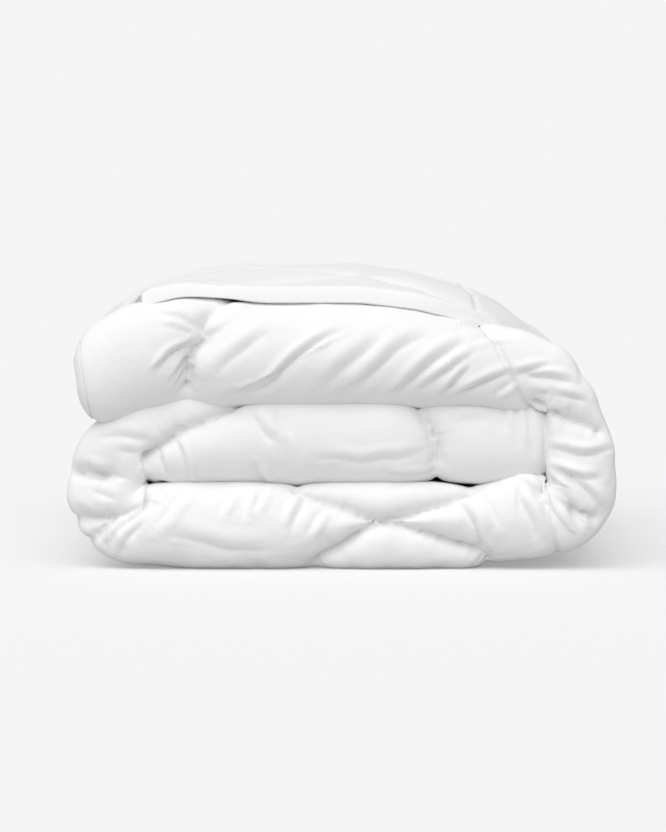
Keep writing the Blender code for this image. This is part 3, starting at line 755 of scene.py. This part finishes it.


# ---- Quilt: three lengths of the strip -------------------------------------------------------------------
# The layers below, the right bend and the top layer, each a closed filled pad. They meet at the two seams
# that run right round the strip. Both cloths are white cotton percale, with a fine weave, faint crumpling
# and a little bloom at grazing angles.

def cotton_material(name, light, dark, weave_size, bump, sheen):
    """White woven cotton with a faint unevenness in its tone."""
    made, tree, shader, link = new_material(name)
    shader.inputs["Roughness"].default_value = 0.92
    shader.inputs["Specular IOR Level"].default_value = 0.18
    shader.inputs["Sheen Weight"].default_value = sheen
    shader.inputs["Sheen Roughness"].default_value = 0.6
    place = tree.nodes.new("ShaderNodeTexCoord")
    cloudy = tree.nodes.new("ShaderNodeTexNoise")
    cloudy.inputs["Scale"].default_value = 9.0
    cloudy.inputs["Detail"].default_value = 4.0
    tone = tree.nodes.new("ShaderNodeMix")
    tone.data_type = "RGBA"
    tone.inputs[6].default_value = (*dark, 1)
    tone.inputs[7].default_value = (*light, 1)
    link(place.outputs["Object"], cloudy.inputs["Vector"])
    link(cloudy.outputs["Fac"], tone.inputs[0])
    link(tone.outputs[2], shader.inputs["Base Color"])
    warp = tree.nodes.new("ShaderNodeTexWave")
    weft = tree.nodes.new("ShaderNodeTexWave")
    weft.bands_direction = "Z"
    crumple = tree.nodes.new("ShaderNodeTexNoise")
    crumple.inputs["Scale"].default_value = 75.0
    crumple.inputs["Detail"].default_value = 3.0
    for threads in (warp, weft):
        threads.inputs["Scale"].default_value = 1 / weave_size
        threads.inputs["Distortion"].default_value = 0.6
        link(place.outputs["Object"], threads.inputs["Vector"])
    link(place.outputs["Object"], crumple.inputs["Vector"])
    woven = tree.nodes.new("ShaderNodeMath")
    woven.operation = "MULTIPLY"
    link(warp.outputs["Fac"], woven.inputs[0])
    link(weft.outputs["Fac"], woven.inputs[1])
    fine = tree.nodes.new("ShaderNodeBump")
    fine.inputs["Strength"].default_value = 0.25
    fine.inputs["Distance"].default_value = 0.0001
    rough = tree.nodes.new("ShaderNodeBump")
    rough.inputs["Strength"].default_value = 1.0
    rough.inputs["Distance"].default_value = bump
    link(woven.outputs["Value"], fine.inputs["Height"])
    link(crumple.outputs["Fac"], rough.inputs["Height"])
    link(fine.outputs["Normal"], rough.inputs["Normal"])
    link(rough.outputs["Normal"], shader.inputs["Normal"])
    return made


face_cotton = cotton_material("face_cotton", light=(0.875, 0.875, 0.875), dark=(0.855, 0.855, 0.857),
                              weave_size=0.0016, bump=0.001, sheen=0.1)


def piece_from(bm, name, paint):
    """Turn a bmesh into a smooth piece with this finish."""
    bmesh.ops.recalc_face_normals(bm, faces=bm.faces)
    mesh = bpy.data.meshes.new(name)
    bm.to_mesh(mesh)
    bm.free()
    mesh.polygons.foreach_set("use_smooth", [True] * len(mesh.polygons))
    mesh.materials.append(paint)
    piece = bpy.data.objects.new(name, mesh)
    bpy.context.scene.collection.objects.link(piece)
    return piece


def strip_length_between(name, first, last):
    """A closed pad of the grid between two columns, its cut ends filled between the two cloths."""
    count = last - first + 1
    bm = bmesh.new()
    bmesh.ops.create_grid(bm, x_segments=count - 1, y_segments=last_row + 1, size=1)
    bm.verts.ensure_lookup_table()
    laid = np.concatenate([cloth_grid[first:last + 1], cloth_grid[first:last + 1, :1]], 1)
    for vert, spot in zip(bm.verts, laid.transpose(1, 0, 2).reshape(-1, 3)):
        vert.co = spot
    ends = [[bm.verts[row * count + column] for row in range(last_row + 1)] for column in (0, count - 1)]
    join = {bm.verts[(last_row + 1) * count + k]: bm.verts[k] for k in range(count)}
    bmesh.ops.weld_verts(bm, targetmap=join)
    for ring in ends:
        inner, outer = 0, last_row
        while inner < last_inner or outer > last_inner + 1:
            inner_next = fine_order[inner + 1] if inner < last_inner else 99
            outer_next = fine_order[outer - 1] if outer > last_inner + 1 else 99
            if inner_next <= outer_next:
                bm.faces.new((ring[inner], ring[inner + 1], ring[outer]))
                inner += 1
            else:
                bm.faces.new((ring[inner], ring[outer - 1], ring[outer]))
                outer -= 1
    piece = piece_from(bm, name, face_cotton)
    facing = grid_normals[first:last + 1].transpose(1, 0, 2).reshape(-1, 3)
    piece.data.normals_split_custom_set_from_vertices(facing)
    return piece


grid_normals = surface_normals(cloth_grid)
sections = {"lower": (0, bend_column), "bend": (bend_column, lean_column), "top": (lean_column, last_column)}


def carry(piece, where):
    """Let the piece ride with its length of the strip; the bend's piece is only fixed where it lies."""
    if where == "bend":
        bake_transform(piece)
    else:
        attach(piece, "folded_base" if where == "lower" else "top_third")


stood_for = {
    "lower": ("fill_inner_end", "fill_middle", "fill_left_bend", "fill_bottom_left", "fill_bottom_right",
              "face_cloth_middle", "face_cloth_left_bend", "face_cloth_bottom",
              "back_cloth_middle", "back_cloth_left_bend", "back_cloth_bottom"),
    "bend": ("fill_right_bend_lower", "fill_right_bend_upper",
             "face_cloth_right_bend_lower", "face_cloth_right_bend_upper",
             "back_cloth_right_bend_lower", "back_cloth_right_bend_upper"),
    "top": ("fill_shoulder", "fill_top", "fill_outer_end", "face_cloth_top", "back_cloth_top"),
}
for where, (first, last) in sections.items():
    quilt = strip_length_between(where + "_quilt", first, last)
    carry(quilt, where)
    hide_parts(*stood_for[where])


# ---- Hem and end bindings ---------------------------------------------------------------------------------
# The cotton edge turned over and sewn down along both long hems and both ends of the quilt. Each is a thin
# tape laid round the edge, just proud of the cloth.

tape_proud = 0.0007
tape_thickness = 0.0005
hem_cotton = cotton_material("hem_binding", light=(0.88, 0.88, 0.88), dark=(0.86, 0.86, 0.862),
                             weave_size=0.0012, bump=0.0005, sheen=0.05)


def tape(name, columns, rows_used, where, nodes):
    """A thin tape over these columns and rows of the cloth."""
    spread_places = cloth_grid[columns][:, rows_used] + tape_proud * grid_normals[columns][:, rows_used]
    bm = bmesh.new()
    bmesh.ops.create_grid(bm, x_segments=len(columns) - 1, y_segments=len(rows_used) - 1, size=1)
    for vert, spot in zip(bm.verts, spread_places.transpose(1, 0, 2).reshape(-1, 3)):
        vert.co = spot
    bmesh.ops.solidify(bm, geom=bm.faces[:], thickness=tape_thickness)
    for edge in bm.edges:
        edge.smooth = edge.calc_face_angle(0.0) < 1.0
    piece = piece_from(bm, name, hem_cotton)
    carry(piece, where)
    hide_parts(*nodes)


# The parts of each hem on each length of the strip, and the rows that the tape covers round its edge.
hem_parts = {"lower": ("middle", "left_bend", "bottom"), "bend": ("right_bend_lower", "right_bend_upper"),
             "top": ("top",)}
front_hem_rows = list(range(last_inner - 3, last_inner + 6))
back_hem_rows = [row % (last_row + 1) for row in range(-3, 5)]
for where, (first, last) in sections.items():
    columns = list(range(first, last + 1))
    for hem, hem_rows in (("front", front_hem_rows), ("back", back_hem_rows)):
        nodes = [hem + "_hem_" + part for part in hem_parts[where]]
        tape(hem + "_hem_" + where, columns, hem_rows, where, nodes)
ring_rows = list(range(last_row + 1)) + [0]
tape("inner_end_binding", list(range(0, 5)), ring_rows, "lower", ["edge_inner_end"])
tape("outer_end_binding", list(range(last_column - 4, last_column + 1)), ring_rows, "top", ["edge_outer_end"])


# ---- Quilting stitches --------------------------------------------------------------------------------
# White cotton thread in short stitches along every seam, drawn down between the bays. Each stitch is a
# small length of thread that lies on the cloth.

thread_radius = 0.00022
stitch_length = 0.0028
stitch_spacing = 0.0042
thread_proud = 0.0004
thread_white = cotton_material("quilting_thread", light=(0.87, 0.87, 0.87), dark=(0.84, 0.84, 0.84),
                               weave_size=0.0006, bump=0.0001, sheen=0.0)


def stitches(name, lines, where, nodes):
    """Stitches along lines of places lying on the cloth."""
    curve = bpy.data.curves.new(name, "CURVE")
    curve.dimensions = "3D"
    curve.bevel_depth = thread_radius
    curve.bevel_resolution = 1
    curve.use_fill_caps = True
    for line in lines:
        length = np.concatenate([[0], np.cumsum(np.linalg.norm(np.diff(line, axis=0), axis=1))])
        for start in np.arange(0.002, length[-1] - 0.004, stitch_spacing):
            marks = start + np.array([0, stitch_length / 2, stitch_length])
            laid = np.stack([np.interp(marks, length, line[:, i]) for i in range(3)], 1)
            spline = curve.splines.new("POLY")
            spline.points.add(2)
            spline.points.foreach_set("co", np.concatenate([laid, np.ones((3, 1))], 1).reshape(-1))
    drawn = bpy.data.objects.new(name, curve)
    bpy.context.scene.collection.objects.link(drawn)
    mesh = bpy.data.meshes.new_from_object(drawn.evaluated_get(bpy.context.evaluated_depsgraph_get()))
    bpy.data.objects.remove(drawn)
    mesh.materials.clear()
    mesh.materials.append(thread_white)
    piece = bpy.data.objects.new(name, mesh)
    bpy.context.scene.collection.objects.link(piece)
    carry(piece, where)
    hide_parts(*nodes)


proud = cloth_grid + thread_proud * grid_normals
lines = {"lower": [], "bend": [], "top": []}


def sort_line(line, columns_at):
    """Share a line out between the three lengths of the strip."""
    for where, (first, last) in sections.items():
        chosen = (columns_at >= first) & (columns_at <= last)
        starts = np.flatnonzero(np.diff(np.concatenate([[0], chosen.astype(int), [0]])))
        for a, b in zip(starts[::2], starts[1::2]):
            if b - a > 3:
                lines[where].append(line[a:b])


# The seams on the front folds, then the two that run right round the strip, then the diamonds.
front_spots = proud[:, fine_front]
for line, (runs, _, _, _) in zip(seam_lines, front_seams):
    # Each line was measured on the cloth before it was filled: find the same places on the finished one.
    low = np.argmin(abs(fine_run - runs[0]))
    high = np.argmin(abs(fine_run - runs[1]))
    places = flat_front[low:high + 1].reshape(-1, 3)
    found = [np.argmin(((places - spot) ** 2).sum(1)) for spot in line[1:-1]]
    at_column = low + np.array(found) // len(fine_front)
    on_cloth = front_spots[low:high + 1].reshape(-1, 3)[found]
    for _ in range(2):
        on_cloth[1:-1] = (on_cloth[:-2] + 2 * on_cloth[1:-1] + on_cloth[2:]) / 4
    sort_line(on_cloth, at_column)
outer_rows = np.flatnonzero(np.repeat(rows[:, 0] == OUTER, 2))
for round_column, where in ((bend_column + 1, "bend"), (lean_column + 1, "top")):
    lines[where].append(proud[round_column, fine_front])
    lines[where].append(proud[round_column, outer_rows])
for lean_sign in (1, -1):
    for number in range(-8, 16):
        wanted = (number - diamond_shift) * diamond - lean_sign * diamond_lean * fine_from_hem[outer_rows]
        inside = (wanted > 0.02) & (wanted < strip_length - 0.02)
        if inside.sum() < 6:
            continue
        at_row = outer_rows[inside]
        at_column = np.interp(wanted[inside], fine_run, np.arange(last_column + 1))
        low = np.floor(at_column).astype(int)
        share = (at_column - low)[:, None]
        line = proud[low, at_row] * (1 - share) + proud[np.minimum(low + 1, last_column), at_row] * share
        sort_line(line, at_column)
seam_nodes = {
    "lower": ("seam_middle_seam", "seam_left_bend_top", "seam_left_bend_bottom", "seam_bottom_seam"),
    "bend": ("seam_right_bend_bottom", "seam_fold_line", "seam_right_bend_top"),
    "top": ("seam_shoulder_seam", "seam_outer_seam"),
}
for where in sections:
    stitches(where + "_stitches", lines[where], where, seam_nodes[where])


# ---- Care label ---------------------------------------------------------------------------------------
# A blank tape of soft white cotton, folded in half and caught in the back hem by its two ends. It droops
# a little under its own weight.

label_wide = 0.022
label_long = 0.034
label_caught = 0.006
label_ply = 0.0007
label_droop = 0.006
label_thickness = 0.0003
label_across, label_along = 6, 24
label_tape = cotton_material("label_tape", light=(0.93, 0.93, 0.935), dark=(0.90, 0.90, 0.905),
                             weave_size=0.0008, bump=0.0002, sheen=0.0)
label_low, label_high = (Vector(corner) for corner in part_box("care_label"))
hem_places = cloth_grid[:bend_column, 0]
label_column = int(np.argmin(abs(hem_places[:, 0] - (label_low.x + label_high.x) / 2)
                             + 4 * abs(hem_places[:, 2] - (label_low.z + label_high.z) / 2)))
label_root = Vector(hem_places[label_column])
label_bm = bmesh.new()
bmesh.ops.create_grid(label_bm, x_segments=label_across, y_segments=label_along, size=1)
for number, vert in enumerate(label_bm.verts):
    sideways = (number % (label_across + 1)) / label_across - 0.5
    along = (number // (label_across + 1)) / label_along
    out = 1 - abs(2 * along - 1)
    ply = label_ply * np.sign(0.5 - along) * min(1, 4 * (1 - out))
    droop = label_droop * out ** 2 * (1 + 0.3 * sideways)
    vert.co = label_root + Vector((sideways * label_wide, label_long * out - label_caught, ply - droop))
bmesh.ops.solidify(label_bm, geom=label_bm.faces[:], thickness=label_thickness)
label = piece_from(label_bm, "care_label_tape", label_tape)
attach(label, "folded_base")
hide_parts("care_label")
